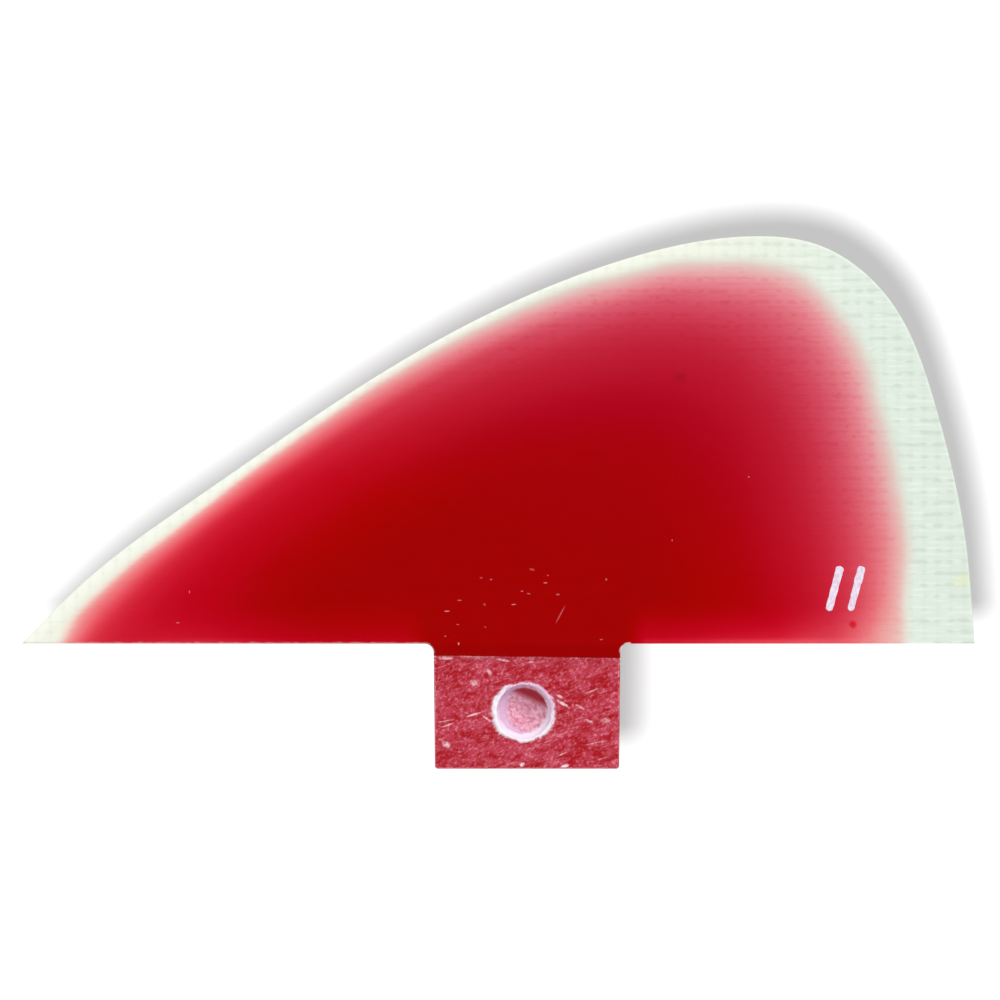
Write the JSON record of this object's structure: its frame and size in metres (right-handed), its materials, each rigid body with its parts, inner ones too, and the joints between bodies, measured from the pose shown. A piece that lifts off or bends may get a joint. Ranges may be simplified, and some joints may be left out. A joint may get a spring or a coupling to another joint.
{
  "type": "surfboard fin",
  "caption": "Single-tab surfboard side fin, a glass laminate foiled on its outer face and flat on its inner face, red inside a pale rim.",
  "frame": {"origin": "middle of the tab where it leaves the blade's base, halfway through the panel's thickness", "axes": "+X aft along the base, +Y from the foiled outer face to the flat inner face, +Z from the board to the tip"},
  "size_m": [0.1143, 0.0066, 0.0639],
  "materials": {
    "clear_laminate": "glass cloth in clear polyester resin, sanded and glossed, translucent pale green-cream",
    "red_laminate": "glass cloth in red-tinted polyester resin, translucent; glossed on the blade and sanded on the tab",
    "gloss_resin": "clear brushed gloss resin",
    "white_paint": "opaque white paint pen"
  },
  "bodies": {
    "root": {"clear_ply_01": "clear_laminate", "clear_ply_02": "clear_laminate", "clear_ply_03": "clear_laminate", "clear_ply_04": "clear_laminate", "clear_ply_05": "clear_laminate", "clear_ply_06": "clear_laminate", "clear_ply_07": "clear_laminate", "red_ply_01": "red_laminate", "red_ply_02": "red_laminate", "red_ply_03": "red_laminate", "red_ply_04": "red_laminate", "red_ply_05": "red_laminate", "red_ply_06": "red_laminate", "red_ply_07": "red_laminate", "red_ply_08": "red_laminate", "red_ply_09": "red_laminate", "red_ply_10": "red_laminate", "red_ply_11": "red_laminate", "red_ply_12": "red_laminate", "red_ply_13": "red_laminate", "red_ply_14": "red_laminate", "outer_gloss_coat": "gloss_resin", "inner_gloss_coat": "gloss_resin", "pen_marks": "white_paint"}
  },
  "joints": []
}
